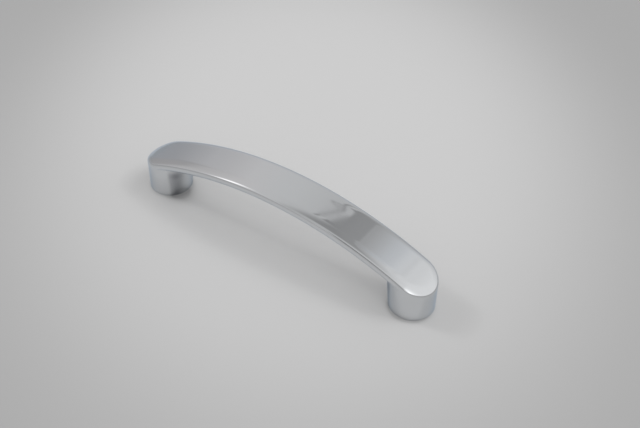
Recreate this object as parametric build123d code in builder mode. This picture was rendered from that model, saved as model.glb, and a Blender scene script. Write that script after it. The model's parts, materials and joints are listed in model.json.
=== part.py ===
from build123d import *
from math import radians, tan
import os

# Bridge pull handle: one die-cast bar, arched between two round feet that are drilled and
# tapped from below. Millimetres. The origin is midway between the screw holes, on the surface
# that the feet stand on. +X runs along the handle and +Z points away from the door front.

# The arched bar
hole_centres = 96.0        # between the two screw holes, a standard drilling distance
bar_width = 14.4           # across the bar, and the diameter of each foot
crown_height = 24.0        # from the door to the top of the arch
crown_thickness = 3.9      # of the bar, at the top of the arch
upper_radius = 121.5       # of the arch's upper face, seen from the side
under_radius = 122.0       # of the arch's under face, seen from the side
shoulder_radius = 1.7      # soft edge all round the upper face
under_edge_radius = 0.5    # along the two edges of the under face

# The feet
foot_flare = 1.6           # how much further a foot reaches inwards at the bar than at its sole
sole_edge_radius = 0.4     # round each sole

# The screw holes, one in each foot, for an M4 screw from behind the door
thread_diameter = 4.0
thread_pitch = 0.7
hole_depth = 9.5           # from the sole to where the drill point starts
mouth_bevel = 0.3          # how much wider than the thread the mouth is, all round
drill_point_angle = 118.0

# What follows from them
foot_radius = bar_width / 2
foot_x = hole_centres / 2
half_length = foot_x + foot_radius
under_crown_height = crown_height - crown_thickness
tap_drill_radius = (thread_diameter - thread_pitch) / 2
mouth_radius = thread_diameter / 2 + mouth_bevel
drill_point_height = tap_drill_radius / tan(radians(drill_point_angle / 2))


def arch_height(crown, radius, x):
    """Height of a round arch of this crown height and radius, at x from the middle."""
    return crown - radius + (radius**2 - x**2) ** 0.5


def arch_line(crown, radius):
    """One arc of the side view, from end to end of the handle over the crown."""
    end = arch_height(crown, radius, half_length)
    return ThreePointArc((-half_length, end), (0, crown), (half_length, end))


# One foot, under the +X end. Its outer half is an upright post, flush with the bar's round end.
# Its inner half leans inwards as it rises, from a round sole to a half ellipse at the bar.
flare_height = arch_height(under_crown_height, under_radius, foot_x - foot_radius - foot_flare)
foot_reaches = {0: foot_radius, flare_height: foot_radius + foot_flare}

with BuildPart() as foot:
    with BuildSketch():
        with Locations((foot_x, 0)):
            Circle(foot_radius)
    extrude(amount=crown_height)
    for height, reach in foot_reaches.items():
        with BuildSketch(Plane.XY.offset(height)):
            with BuildLine():
                wall = EllipticalCenterArc((foot_x, 0), reach, foot_radius, 90, arc_size=180)
                Line(wall @ 1, wall @ 0)
            make_face()
    loft(ruled=True)

    # The foot stops half way through the bar's thickness, where the two are one.
    with BuildSketch(Plane.XZ):
        with BuildLine():
            seat = arch_line(crown_height - crown_thickness / 2, upper_radius)
            Polyline(seat @ 0, (-half_length, 0), (half_length, 0), seat @ 1)
        make_face()
    extrude(amount=bar_width, both=True, mode=Mode.INTERSECT)
    fillet(foot.edges().group_by(Axis.Z)[0], sole_edge_radius)

    # The blind screw hole: a bevelled mouth, the tapping drill's bore and its point.
    with BuildSketch(Plane.XZ.shift_origin((foot_x, 0, 0))):
        with BuildLine():
            Polyline(
                (0, 0),
                (mouth_radius, 0),
                (tap_drill_radius, mouth_radius - tap_drill_radius),
                (tap_drill_radius, hole_depth),
                (0, hole_depth + drill_point_height),
                close=True,
            )
        make_face()
    revolve(axis=Axis((foot_x, 0, 0), (0, 0, 1)), mode=Mode.SUBTRACT)


# The handle: in plan a slot with round ends, and in side view a band between two arcs. Both
# its faces have their edges rounded before the feet cover the ends of the under face.
with BuildPart() as handle:
    with BuildSketch():
        SlotCenterToCenter(hole_centres, bar_width)
    extrude(amount=crown_height)
    with BuildSketch(Plane.XZ):
        with BuildLine():
            upper = arch_line(crown_height, upper_radius)
            under = arch_line(under_crown_height, under_radius)
            Line(upper @ 0, under @ 0)
            Line(upper @ 1, under @ 1)
        make_face()
    extrude(amount=bar_width, both=True, mode=Mode.INTERSECT)
    arch_faces = handle.faces().filter_by(lambda face: abs(face.center().X) < 1 > abs(face.center().Y))
    fillet(arch_faces.sort_by(Axis.Z)[-1].edges(), shoulder_radius)
    fillet(arch_faces.sort_by(Axis.Z)[0].edges(), under_edge_radius)
    add(foot.part)
    mirror(foot.part, about=Plane.YZ)

handle.part.label = "handle"
os.makedirs("parts", exist_ok=True)
export_step(handle.part, "parts/handle.step")
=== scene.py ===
import json
from math import radians

import bpy
import numpy as np
from mathutils import Matrix, Vector


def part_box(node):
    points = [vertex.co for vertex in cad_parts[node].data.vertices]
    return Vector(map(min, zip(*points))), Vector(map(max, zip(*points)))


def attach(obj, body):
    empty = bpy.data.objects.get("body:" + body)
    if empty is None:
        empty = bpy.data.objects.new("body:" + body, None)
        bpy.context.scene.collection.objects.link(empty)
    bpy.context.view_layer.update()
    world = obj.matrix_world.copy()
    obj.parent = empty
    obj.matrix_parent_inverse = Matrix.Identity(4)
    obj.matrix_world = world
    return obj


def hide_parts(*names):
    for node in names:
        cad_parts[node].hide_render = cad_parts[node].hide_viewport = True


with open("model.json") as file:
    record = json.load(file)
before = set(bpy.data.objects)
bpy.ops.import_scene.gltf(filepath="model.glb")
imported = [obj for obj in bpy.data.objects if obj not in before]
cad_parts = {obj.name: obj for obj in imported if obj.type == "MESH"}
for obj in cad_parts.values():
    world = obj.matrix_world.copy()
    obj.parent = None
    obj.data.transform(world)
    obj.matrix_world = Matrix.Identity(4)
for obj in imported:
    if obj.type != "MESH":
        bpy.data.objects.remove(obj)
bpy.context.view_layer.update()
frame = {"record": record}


# ---------------------------------------------------------------------------------------------
# The handle: an arched bar on two round feet, die-cast in zinc in one piece, polished all over
# and plated with copper, nickel and bright chrome. A blind M4 hole is tapped into each foot.
# ---------------------------------------------------------------------------------------------
low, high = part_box("handle")
screws = next(m for m in frame["record"]["mounts"] if m["name"] == "screw_holes")
foot_x = screws["dims"]["spacing_x_mm"] / 2000
foot_radius = (high.y - low.y) / 2
crown_height = high.z - low.z
crown_thickness = 0.0039
upper_radius = 0.1215
under_radius = 0.122
shoulder_radius = 0.0017
under_edge_radius = 0.0005
face_softness = 0.18       # How far buffing has turned the normals, in radians: beside the
wall_softness = 0.36       # shoulder on the upper face and on the side wall, and on the wall
lower_softness = 0.25      # above the bar's lower edge.
buffed_share = 0.22        # of the upper face's half width, where its normals are turned
foot_flare = 0.0016
sole_edge_radius = 0.0004
bore_radius = screws["dims"]["hole_r_mm"] / 1000
thread_radius = 0.002
thread_pitch = 0.0007
mouth_radius = 0.0023
hole_depth = 0.0095
thread_steepness = 2.4     # of the thread's flanks: depths of thread in half a pitch
drill_point = bore_radius / np.tan(radians(59))

upper_axis_z = crown_height - upper_radius
under_axis_z = crown_height - crown_thickness - under_radius
flare_x = foot_x - foot_radius - foot_flare
flare_height = under_axis_z + np.sqrt(under_radius**2 - flare_x**2)

# How finely a quarter of the handle is divided
along = np.linspace(0, 1, 81)           # from the crown to the foot
round_end = np.radians(np.linspace(90, 0, 33))   # round the end, from its side to its tip
shoulder_steps = np.linspace(0, 1, 17)
under_edge_steps = np.radians(np.linspace(0, 90, 9))
sole_edge_steps = np.radians(np.linspace(0, 90, 9))
upper_wall_steps = np.linspace(0, 1, 17)
lower_wall_steps = np.linspace(0, 1, 33)
thread_steps = 137         # rings of points down the thread
lower_softness_along = lower_softness * (1 - along**6)     # none where the foot begins


def points(x, y, z):
    """One array of points from three arrays that are broadcast against each other."""
    return np.stack(np.broadcast_arrays(x, y, z), axis=-1).astype(float)


def unit(vectors):
    """Each vector divided by its length."""
    return vectors / np.linalg.norm(vectors, axis=-1, keepdims=True)


def arch(axis_z, radius, x):
    """Height of a round arch over x: its axis height plus the root of radius^2 - x^2."""
    return axis_z + np.sqrt(radius**2 - x**2)


def outline(inset):
    """Half of one long side and half of one round end in plan, this far inside the edge, with
    the edge's outward normals: a straight line to the foot's centre, then a quarter circle."""
    radius = foot_radius - inset
    x = np.r_[foot_x * along, foot_x + radius * np.cos(round_end[1:])]
    y = np.r_[np.full(len(along), radius), radius * np.sin(round_end[1:])]
    normal_x = np.r_[np.zeros(len(along)), np.cos(round_end[1:])]
    normal_y = np.r_[np.ones(len(along)), np.sin(round_end[1:])]
    return x, y, points(normal_x, normal_y, 0)


def upper_face():
    """The arch's upper face: rows across the bar at sines of the round end's angles, each drawn
    out to the curve where the shoulder starts. Its normals lean outwards by the softness times
    nearness^2, where nearness rises from 0 to 1 over the buffed share beside the edge."""
    stretch = upper_radius / (upper_radius - shoulder_radius)
    radius = foot_radius - shoulder_radius
    x = along[:, None] * stretch * (foot_x + radius * np.cos(round_end))
    y = radius * np.sin(round_end)
    place = points(x, y, arch(upper_axis_z, upper_radius, x))
    past_screw = np.maximum(x - foot_x, 0)
    out = points(past_screw, y, 0) / radius
    nearness = np.clip(1 - (1 - np.hypot(past_screw, y) / radius) / buffed_share, 0, 1)
    tilt = face_softness * nearness**2
    return place, unit(unit(place - points(0, y, upper_axis_z)) + tilt[..., None] * out)


def shoulder():
    """A ball of the shoulder's radius rolled round the outline, under the upper face: its
    surface from the side wall's normal to the upper face's normal, by equal turns. Its own
    normals start and end short of those two, by the softness of the wall and of the face."""
    x, y, side = outline(shoulder_radius)
    centre = points(x, y, arch(upper_axis_z, upper_radius - shoulder_radius, x))
    up = unit(centre - points(0, y, upper_axis_z))
    turn = np.arccos(np.sum(side * up, axis=-1))[:, None, None]

    def turned(angle):
        """The side's normal turned this far towards the upper face's: sine of what is left of
        the turn times the one, plus sine of the angle times the other, over the turn's sine."""
        return (np.sin(turn - angle) * side[:, None] + np.sin(angle) * up[:, None]) / np.sin(turn)

    angle = shoulder_steps[:, None] * turn
    soft = wall_softness + angle * (1 - (wall_softness + face_softness) / turn)
    return centre[:, None] + shoulder_radius * turned(angle), turned(soft)


def foot_reach(z):
    """How far a foot reaches inwards at this height: its radius, plus the flare's share."""
    return foot_radius + foot_flare * z / flare_height


def inner_wall_x(y, z):
    """Where a foot's inner wall is, at a distance y from the middle and at this height."""
    return foot_x - foot_reach(z) * np.sqrt(np.maximum(1 - (y / foot_radius)**2, 0))


def inner_wall_normal(place):
    """Outward normal of a foot's inner wall: the gradient of (distance / reach)^2 + (y / r)^2."""
    distance, reach = foot_x - place[..., 0], foot_reach(place[..., 2])
    slope = foot_flare / flare_height
    return unit(points(-distance / reach**2, place[..., 1] / foot_radius**2,
                       -distance**2 * slope / reach**3))


def under_side():
    """The bar's rounded lower edge and its under face, as rows along the bar that end where
    they meet the foot's inner wall. The meeting point of each row is found by repetition."""
    inset = under_edge_radius * (1 - np.cos(under_edge_steps))
    drop = under_edge_radius * np.sin(under_edge_steps)
    face_y = (foot_radius - under_edge_radius) * np.sin(round_end[1:])
    y = np.r_[foot_radius - inset, face_y]
    drop = np.r_[drop, np.full(len(face_y), under_edge_radius)]
    ball = under_radius + under_edge_radius
    end = np.full(len(y), foot_x)
    for _ in range(60):
        height = under_axis_z + np.sqrt(ball**2 - end**2) * (1 - drop / ball)
        end = inner_wall_x(y, height) / (1 - drop / ball)
    x = along[:, None] * end
    radial = points(x, 0, np.sqrt(ball**2 - x**2)) / ball
    place = points(x, y, under_axis_z + np.sqrt(ball**2 - x**2)) - drop[:, None] * radial
    turn = np.arcsin(np.minimum(drop / under_edge_radius, 1))
    turn = turn + lower_softness_along[:, None] * (1 - turn * 2 / np.pi)
    return place, unit(points(0, np.cos(turn), 0) - np.sin(turn)[..., None] * radial)


def side_wall(top, bottom):
    """The bar's flat side, between the shoulder and the rounded lower edge. Its normals lean up
    by the softness times (1 - share)^2, and down by the lower softness times share^3."""
    share = upper_wall_steps[:, None]
    place = top[:, None] * (1 - share) + bottom[:, None] * share
    tilt = wall_softness * (1 - upper_wall_steps)**2
    tilt = tilt - lower_softness_along[:, None] * upper_wall_steps**3
    return place, unit(points(0, 1, tilt))


def outer_wall(top, corner_height):
    """The upright half cylinder at a foot's outer side, from the shoulder to the sole's edge. It
    is divided at the height of the bar's lower edge, brought down with the shoulder, and above
    that its normals lean up by the softness times (1 - share)^2."""
    bend = corner_height * top[:, 2] / top[0, 2]
    upper = top[:, 2:] + (bend - top[:, 2])[:, None] * upper_wall_steps
    lower = bend[:, None] + (sole_edge_radius - bend)[:, None] * lower_wall_steps[1:]
    z = np.hstack([upper, lower])
    place = points(top[:, :1], top[:, 1:2], z)
    tilt = np.r_[wall_softness * (1 - upper_wall_steps)**2, np.zeros(len(lower_wall_steps) - 1)]
    return place, unit(points(np.cos(round_end)[:, None], np.sin(round_end)[:, None], tilt))


def inner_wall(top):
    """A foot's inner half, from where the bar's under side meets it down to the sole's edge."""
    z = top[:, 2:] + (sole_edge_radius - top[:, 2:]) * lower_wall_steps
    place = points(inner_wall_x(top[:, 1:2], z), top[:, 1:2], z)
    return place, inner_wall_normal(place)


def sole_edge(angle, reach, wall_normal):
    """The rounded edge of the sole: a quarter circle from the wall to the flat sole, carried
    round the foot. Reach is how far the foot goes at each height above the sole."""
    inset = sole_edge_radius * (1 - np.cos(sole_edge_steps))
    z = sole_edge_radius * (1 - np.sin(sole_edge_steps))
    cosine, sine = np.cos(angle)[:, None], np.sin(angle)[:, None]
    place = points(foot_x + (reach(z) - inset) * cosine, (foot_radius - inset) * sine, z)
    down = points(0, 0, np.full(len(angle), -1.0))[:, None]
    normal = wall_normal[:, None] * np.cos(sole_edge_steps)[:, None]
    return place, unit(normal + down * np.sin(sole_edge_steps)[:, None])


def sole(edge):
    """The flat ring between the sole's edge and the mouth of the screw hole."""
    centre = np.array([foot_x, 0, 0])
    mouth = centre + unit(edge - centre) * mouth_radius
    share = np.linspace(0, 1, 9)[:, None]
    place = edge[:, None] * (1 - share) + mouth[:, None] * share
    return place, points(np.zeros(place.shape[:2]), 0, -1)


def screw_hole(angle):
    """The bevelled mouth, the tapped bore and the drill point. The bore's radius swings between
    the drill's and the thread's as a clipped triangle wave of height / pitch minus turns, which
    fades in and out over one pitch."""
    bevel = mouth_radius - bore_radius
    tapped = np.linspace(bevel, hole_depth, thread_steps)[:, None]
    phase = (tapped / thread_pitch - angle / (2 * np.pi)) % 1
    cut = np.clip(thread_steepness * (0.5 - np.abs(2 * phase - 1)), 0, 1)
    fade = np.clip(np.minimum(tapped - bevel, hole_depth - tapped) / thread_pitch, 0, 1)
    radius = np.vstack([np.full(len(angle), mouth_radius),
                        bore_radius + (thread_radius - bore_radius) * cut * fade,
                        np.zeros(len(angle))])
    z = np.vstack([0, tapped, hole_depth + drill_point])
    place = points(foot_x + radius * np.cos(angle), radius * np.sin(angle), z)
    normal = np.cross(np.gradient(place, axis=0), np.gradient(place, axis=1))
    inwards = points(foot_x, 0, z) - place
    normal = normal * np.sign(np.sum(normal * inwards, axis=-1, keepdims=True))
    normal[-1] = (0, 0, -1)
    return place, unit(normal)


class Shell:
    """Gathers grids of points and their normals, and welds them into one closed mesh."""

    def __init__(self):
        self.places, self.normals, self.cells, self.count = [], [], [], 0

    def add(self, place, normal):
        """Adds a grid, with its cells wound so that they face the way its normals point."""
        rows, columns = place.shape[:2]
        index = self.count + np.arange(rows * columns).reshape(rows, columns)
        cells = np.stack([index[:-1, :-1], index[1:, :-1], index[1:, 1:], index[:-1, 1:]], axis=-1)
        facing = np.cross(place[1:, :-1] - place[:-1, 1:], place[1:, 1:] - place[:-1, :-1])
        turned = np.sum(facing * normal[:-1, :-1]) < 0
        self.cells.append(cells.reshape(-1, 4)[:, ::-1 if turned else 1])
        self.places.append(place.reshape(-1, 3))
        self.normals.append(normal.reshape(-1, 3))
        self.count += rows * columns

    def mesh(self, name):
        """One mesh: equal points become one vertex, a cell with a side of no length becomes a
        triangle, and each corner keeps the normal that its own grid gave it."""
        places, normals = np.concatenate(self.places), np.concatenate(self.normals)
        cells = np.concatenate(self.cells)
        _, first, welded = np.unique(np.round(places * 1e7), axis=0,
                                     return_index=True, return_inverse=True)
        corner = welded.reshape(-1)[cells]
        kept = corner != np.roll(corner, -1, axis=1)
        whole = kept.sum(axis=1) > 2
        kept, corner, cells = kept[whole], corner[whole], cells[whole]
        made = bpy.data.meshes.new(name)
        made.vertices.add(len(first))
        made.vertices.foreach_set("co", places[first].ravel())
        made.loops.add(int(kept.sum()))
        made.loops.foreach_set("vertex_index", corner[kept].astype(np.int32))
        made.polygons.add(len(cells))
        starts = np.r_[0, np.cumsum(kept.sum(axis=1))[:-1]]
        made.polygons.foreach_set("loop_start", starts.astype(np.int32))
        made.update(calc_edges=True)
        made.polygons.foreach_set("use_smooth", np.ones(len(cells), bool))
        made.normals_split_custom_set(normals[cells[kept]])
        return made


# A quarter of the handle, on the +X and +Y sides
top_place, top_normal = upper_face()
shoulder_place, shoulder_normal = shoulder()
under_place, under_normal = under_side()
shoulder_foot = shoulder_place[:, 0]
side_place, side_normal = side_wall(shoulder_foot[:len(along)], under_place[:, 0])
outer_place, outer_normal = outer_wall(shoulder_foot[len(along) - 1:], under_place[-1, 0, 2])
inner_place, inner_normal = inner_wall(under_place[-1])
inner_angle = np.pi - np.arcsin(np.clip(inner_place[:, 0, 1] / foot_radius, 0, 1))
outer_edge = sole_edge(round_end, lambda z: foot_radius, outer_normal[:, -1])
inner_edge = sole_edge(inner_angle, foot_reach, inner_normal[:, -1])
outer_sole, inner_sole = sole(outer_edge[0][:, -1]), sole(inner_edge[0][:, -1])
quarter = [(top_place, top_normal), (shoulder_place, shoulder_normal),
           (under_place, under_normal), (side_place, side_normal), (outer_place, outer_normal),
           (inner_place, inner_normal), outer_edge, inner_edge, outer_sole, inner_sole]

shell = Shell()
half_circle = np.r_[round_end[::-1], inner_angle[1:]]
full_circle = np.r_[half_circle, 2 * np.pi - half_circle[-2::-1]]
for end in (1, -1):
    for side in (1, -1):
        mirror = np.array([end, side, 1])
        for place, normal in quarter:
            shell.add(place * mirror, normal * mirror)
    place, normal = screw_hole(full_circle if end > 0 else np.pi - full_circle)
    shell.add(place - [foot_x * (1 - end), 0, 0], normal)

handle = bpy.data.objects.new("chrome_handle", shell.mesh("chrome_handle"))
bpy.context.scene.collection.objects.link(handle)
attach(handle, "root")
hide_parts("handle")


class Socket:
    """A node's output. Arithmetic on it adds Math nodes, and node() adds a node of any type."""

    def __init__(self, tree, output=None):
        self.tree, self.output = tree, output

    def node(self, kind, settings, values, output=0):
        """Adds a node, sets it, then gives its input sockets these values or links."""
        made = self.tree.nodes.new("ShaderNode" + kind)
        for name, setting in settings.items():
            if name == "stops":
                fill_ramp(made.color_ramp, setting)
            else:
                setattr(made, name, setting)
        for name, value in values.items():
            if isinstance(value, Socket):
                self.tree.links.new(value.output, made.inputs[name])
            else:
                made.inputs[name].default_value = value
        return Socket(self.tree, made.outputs[output])

    def maths(self, operation, *others):
        """A Math node on this value and the others."""
        return self.node("Math", {"operation": operation}, dict(enumerate((self, *others))))

    # Each operator adds one Math node. The reflected forms take a number on the left.
    def __add__(self, other):
        return self.maths("ADD", other)

    def __sub__(self, other):
        return self.maths("SUBTRACT", other)

    def __mul__(self, other):
        return self.maths("MULTIPLY", other)

    def __truediv__(self, other):
        return self.maths("DIVIDE", other)

    def __pow__(self, other):
        return self.maths("POWER", other)

    def __rsub__(self, other):
        return self * -1 + other

    def __neg__(self):
        return self * -1

    __radd__ = __add__
    __rmul__ = __mul__

    def step(self, start, end):
        """Rises smoothly from 0 at start to 1 at end."""
        span = {"From Min": start, "From Max": end, "Value": self}
        return self.node("MapRange", {"interpolation_type": "SMOOTHSTEP"}, span)

    def bell(self, centre, width):
        """exp(-((value - centre) / width)^2), a soft bump of height 1."""
        offset = (self - centre) / width
        return (-(offset * offset)).maths("EXPONENT")

    def axes(self):
        """The three coordinates of a vector."""
        return [self.node("SeparateXYZ", {}, {0: self}, axis) for axis in "XYZ"]

    def between(self, first, second):
        """A colour: the first where this value is 0, and the second where it is 1."""
        return self.node("Mix", {"data_type": "RGBA"}, {0: self, 6: first, 7: second}, 2)


def fill_ramp(ramp, stops):
    """Gives a colour ramp these stops, each a position and a grey level."""
    while len(ramp.elements) < len(stops):
        ramp.elements.new(1)
    for element, (position, level) in zip(ramp.elements, stops):
        element.position = position
        element.color = (level, level, level, 1)


chrome = bpy.data.materials.new("bright_chrome_plate")
chrome.use_nodes = True
plate = chrome.node_tree.nodes["Principled BSDF"]
plate.inputs["Metallic"].default_value = 1
plate.inputs["Specular Tint"].default_value = (0.77, 0.85, 0.94, 1)     # bluish towards its edges
place = Socket(chrome.node_tree).node("TexCoord", {}, {}, "Object")
x, y, z = place.axes()
foot_offset = x.maths("ABSOLUTE") - foot_x


def cloud(size, detail=2.0):
    """Noise from 0 to 1, in blotches of about this size in metres."""
    return place.node("TexNoise", {}, {"Vector": place, "Scale": 0.5 / size, "Detail": detail})


# The cut thread shows bare zinc, and the sole is plated but ground flat, not polished.
from_screw = (foot_offset * foot_offset + y * y).maths("SQRT")
bare = from_screw.step(mouth_radius + 0.0001, mouth_radius - 0.0002) * z.step(0.012, 0.0115)
ground = z.step(0.00012, 0.00002)

# Painted shade: two dark streaks in the plate's colour, one each side of a foot's inner wall,
# darkest close under the bar, stand for the shaded corner between a foot and the bar. The plate
# is a little rougher under them.
streak_y, streak_width = 0.0043, 0.0019
corner_z, corner_height = 0.0097, 0.0016
painted_nook_shade = foot_offset.step(-0.004, -0.0052) * y.maths("ABSOLUTE").bell(streak_y, streak_width)
painted_nook_shade = painted_nook_shade * (0.60 * z.step(0.011, 0.008) + 0.40 * z.bell(corner_z, corner_height))

plate_colour = cloud(0.02).between((0.698, 0.712, 0.729, 1), (0.724, 0.736, 0.749, 1))
bare_zinc, nook_shade_colour = (0.36, 0.36, 0.37, 1), (0.17, 0.18, 0.20, 1)
plate_colour = bare.between(plate_colour, bare_zinc)
# Painted shade: the streaks darken the plate towards a dark grey.
plate_colour = (0.9 * painted_nook_shade).between(plate_colour, nook_shade_colour)
chrome.node_tree.links.new(plate_colour.output, plate.inputs["Base Color"])

# A faint haze lies on the polish in blotches.
polished, haze = 0.045, 0.05 * cloud(0.012) * cloud(0.0006)
roughness = polished + haze + 0.10 * painted_nook_shade + 0.22 * ground + 0.3 * bare
chrome.node_tree.links.new(roughness.output, plate.inputs["Roughness"])

# The polish leaves long low waves, and a finer unevenness under the plating. Heights in metres.
waves = 2e-6 * cloud(0.007, 1.0) + 1.5e-7 * cloud(0.0009)

# One dent near the far edge bends what the upper face reflects there: a slope that is steepest
# at its middle, where the height is 0.
dent_x, dent_y, dent_slope = 0.0205, 0.0038, -0.008
dent_place = x.bell(dent_x, 0.005) * y.bell(dent_y, 0.0014) * z.step(0.018, 0.019)
dent = dent_slope * (x - dent_x) * dent_place
relief = place.node("Bump", {}, {"Strength": 1.0, "Distance": 1.0, "Height": waves + dent})
chrome.node_tree.links.new(relief.output, plate.inputs["Normal"])
handle.data.materials.append(chrome)


# ---------------------------------------------------------------------------------------------
# The table: a pale matt sheet of paper that the handle stands on, laid flat. A pool of light is
# painted into its tone, which falls off slowly all round; shade is painted round the feet, and the
# sheet glows a little of itself, painted light that keeps its shadows light.
# ---------------------------------------------------------------------------------------------
sheet = bpy.data.meshes.new("table_sheet")
half = 1.5
sheet.from_pydata([(-half, -half, 0), (half, -half, 0), (half, half, 0), (-half, half, 0)],
                  [], [(0, 1, 2, 3)])
table = bpy.data.objects.new("table_sheet", sheet)
bpy.context.scene.collection.objects.link(table)

matt = bpy.data.materials.new("pale_matt_sheet")
matt.use_nodes = True
paper = matt.node_tree.nodes["Principled BSDF"]
paper.inputs["Roughness"].default_value = 0.9
paper.inputs["Specular IOR Level"].default_value = 0.2
place = Socket(matt.node_tree).node("TexCoord", {}, {}, "Object")

# The painted pool of light is an oval: exp(-(distance^2)^2.14), with distance 1 on the oval's
# own line.
pool = place.node("Mapping", {"vector_type": "TEXTURE"}, {
    "Vector": place, "Location": (-0.0269, 0.0532, 0), "Rotation": (0, 0, radians(38.2)),
    "Scale": (0.103, 0.1397, 1)})
across, deep, _ = pool.axes()
pool_edge = 2.14
painted_pool_light = (-((across * across + deep * deep) ** pool_edge)).maths("EXPONENT")
# Tones of the painted pool of light: outside it, in its middle, and towards the front.
outer_tone, pool_light_tone, near_tone = [(level, level, level, 1) for level in (0.350, 0.533, 0.54)]
painted_shadow_black = (0, 0, 0, 1)

x, y, _ = place.axes()


def contact(centre_x, centre_y, radius, fade):
    """exp(-gap / fade), where the gap is measured outwards from this circle."""
    away_x, away_y = x - centre_x, y - centre_y
    gap = ((away_x * away_x + away_y * away_y).maths("SQRT") - radius).maths("MAXIMUM", 0.0)
    return (gap / -fade).maths("EXPONENT")


# Painted shade: the sheet's tone darkens close round each foot and under the bar beside the
# left one, where little light gets in.
round_right = contact(foot_x + 0.0002, -0.0013, radius=foot_radius - 0.0006, fade=0.0006)
round_left = contact(-foot_x + 0.0008, -0.0005, radius=foot_radius, fade=0.0006)
under_bar = contact(-foot_x + 0.0057, -0.0022, radius=0.0032, fade=0.0018)
painted_contact_shade = 0.28 * round_right + 0.12 * round_left + 0.40 * under_bar

# Towards the front the painted pool and shade give way to an even tone.
tone = painted_contact_shade.between(painted_pool_light.between(outer_tone, pool_light_tone), painted_shadow_black)
tone = (y + 0.35 * x).step(-0.10, -0.60).between(tone, near_tone)
matt.node_tree.links.new(tone.output, paper.inputs["Base Color"])
# Painted light: the sheet glows faintly in its own tone, which keeps its shadows light.
matt.node_tree.links.new(tone.output, paper.inputs["Emission Color"])
paper.inputs["Emission Strength"].default_value = 0.22
table.data.materials.append(matt)


# ---------------------------------------------------------------------------------------------
# The light: a room that is bright on the right and dimmer on the left, with a dark gap between
# them overhead, and two soft lamps, one behind on the right and one on the left, each with a
# small core. The lamps light the table, and the handle mirrors the room and the table.
# ---------------------------------------------------------------------------------------------
world = bpy.data.worlds.new("studio_room")
bpy.context.scene.world = world
world.use_nodes = True
toward = Socket(world.node_tree).node("TexCoord", {}, {}, "Generated")
x, y, z = toward.axes()


def levels(value, start, end, pairs):
    """A ramp between these values, from pairs of a value and a brightness."""
    share = (value - start) / (end - start)
    return share.node("ValToRGB", {"stops": [((at - start) / (end - start), level)
                                             for at, level in pairs]}, {"Fac": share})


def glow(azimuth, elevation, tightness):
    """exp(tightness * (cosine of the angle to this direction - 1)), a round soft patch."""
    a, e = radians(azimuth), radians(elevation)
    nearness = x * (np.cos(a) * np.cos(e)) + y * (np.sin(a) * np.cos(e)) + z * np.sin(e)
    return ((nearness - 1) * tightness).maths("EXPONENT")


# Brightness against x, the share of the direction that points right. The gap's level is the
# least of both sides.
gap_level = 0.313
left = levels(x + 0.05 * y.step(0.35, 0.1), -1, 0, [
    (-1, 0.385), (-0.92, 0.405), (-0.86, 0.418), (-0.83, 0.418), (-0.80, 0.468), (-0.75, 0.540),
    (-0.68, 0.575), (-0.59, 0.636), (-0.5, 0.636), (-0.38, 0.620), (-0.26, 0.584), (-0.2, 0.566)])
right = levels(x - 0.04 * y.step(0.55, 0.2), -0.2, 0.8, [
    (-0.12, 0.314), (-0.05, 0.342), (0.018, 0.353), (0.026, 0.445), (0.037, 0.430), (0.055, 0.452),
    (0.104, 0.522), (0.155, 0.608), (0.205, 0.665), (0.24, 0.735), (0.262, 0.742), (0.277, 0.718),
    (0.30, 0.790), (0.33, 0.788), (0.37, 0.836), (0.45, 0.864), (0.6, 0.883)])

# Behind, the left side ends in a bright strip with a dark line beside it, both slanting.
slant = (3.6 * (y - 0.621)).maths("MAXIMUM", -0.045).maths("MINIMUM", 0.03)
strip = (x - slant).step(-0.122, -0.137) * (1 - (x - slant).bell(-0.174, 0.010))

# In front, it ends softly, and further to the left the further forward.
forward = 0.62 - y
soft_end = (x + 0.11 * forward * forward + 0.13).step(0.12, -0.12)
left_share = soft_end + (strip - soft_end) * y.step(0.25, 0.5)
room = right + (left - gap_level) * left_share

# The wall behind is even, the one far in front is never dark, and a window glows low in it.
wall_behind = 0.57 + 0.08 * x.step(0.0, 0.2)
room = room + (wall_behind - room) * 0.6 * y.step(0.66, 0.9)
wall_in_front = 0.50 * y.step(-0.70, -0.88)
window = 0.64 * glow(azimuth=-62, elevation=3, tightness=9)
room = room.maths("MAXIMUM", wall_in_front) + window

# Low in front: a narrow bright door on the left, and a dark skirting in the middle
front = y.step(0.0, -0.05)
sideways = x / (-y).maths("MAXIMUM", 0.05)
door = sideways.bell(-0.77, 0.09) * z.step(0.40, 0.2) * front
skirting = z.step(0.26, 0.19) * sideways.step(-0.28, -0.21) * sideways.step(0.60, 0.40) * front
room = room + 0.85 * door - 0.36 * skirting

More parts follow.
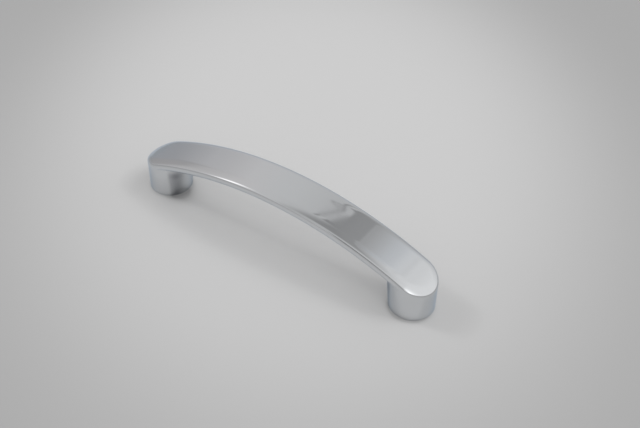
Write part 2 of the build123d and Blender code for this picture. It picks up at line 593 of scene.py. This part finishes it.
# The light is cooler just right of the gap, and warmer far to the left.
neutral, cool, warm = (1.0, 1.0, 1.002, 1), (0.98, 1.0, 1.03, 1), (1.025, 1.0, 1.0, 1)
beside_gap = x.bell(0.18, 0.08) * y.step(-0.2, 0.0)
tint = x.step(-0.4, -0.65).between(beside_gap.between(neutral, cool), warm)
background = world.node_tree.nodes["Background"]
world.node_tree.links.new(tint.output, background.inputs["Color"])
world.node_tree.links.new(room.output, background.inputs["Strength"])


def soft_lamp(name, azimuth, elevation, energy, spread):
    """A far lamp of this spread in degrees, which only lights, and shows in no reflection."""
    a, e = radians(azimuth), radians(elevation)
    lamp = bpy.data.lights.new(name, "SUN")
    lamp.energy, lamp.angle = energy, radians(spread)
    placed = bpy.data.objects.new(name, lamp)
    towards = Vector((np.cos(a) * np.cos(e), np.sin(a) * np.cos(e), np.sin(e)))
    placed.rotation_euler = towards.to_track_quat("Z", "Y").to_euler()
    placed.visible_glossy = False
    bpy.context.scene.collection.objects.link(placed)


soft_lamp("right_lamp", azimuth=33, elevation=54, energy=0.48, spread=24)
soft_lamp("right_lamp_core", azimuth=24, elevation=45, energy=0.14, spread=5)
soft_lamp("left_lamp", azimuth=192, elevation=41, energy=0.44, spread=20)
soft_lamp("left_lamp_core", azimuth=191, elevation=37, energy=0.165, spread=5)


# ---------------------------------------------------------------------------------------------
# The camera: a short telephoto, above and to the side of the handle's right end.
# ---------------------------------------------------------------------------------------------
azimuth, elevation, roll = radians(34.27), radians(42.28), radians(1.12)
target = Vector((0.01004, 0.00569, 0.012))
distance = 0.29829
lens = bpy.data.cameras.new("camera")
lens.sensor_width = 36
lens.lens = 53.44
lens.clip_start = 0.01
camera = bpy.data.objects.new("camera", lens)
bpy.context.scene.collection.objects.link(camera)
back = Vector((np.sin(azimuth) * np.cos(elevation), -np.cos(azimuth) * np.cos(elevation),
               np.sin(elevation)))
turn = back.to_track_quat("Z", "Y").to_matrix().to_4x4() @ Matrix.Rotation(roll, 4, "Z")
camera.matrix_world = Matrix.Translation(target + distance * back) @ turn
bpy.context.scene.camera = camera
bpy.context.scene.view_settings.view_transform = "Standard"
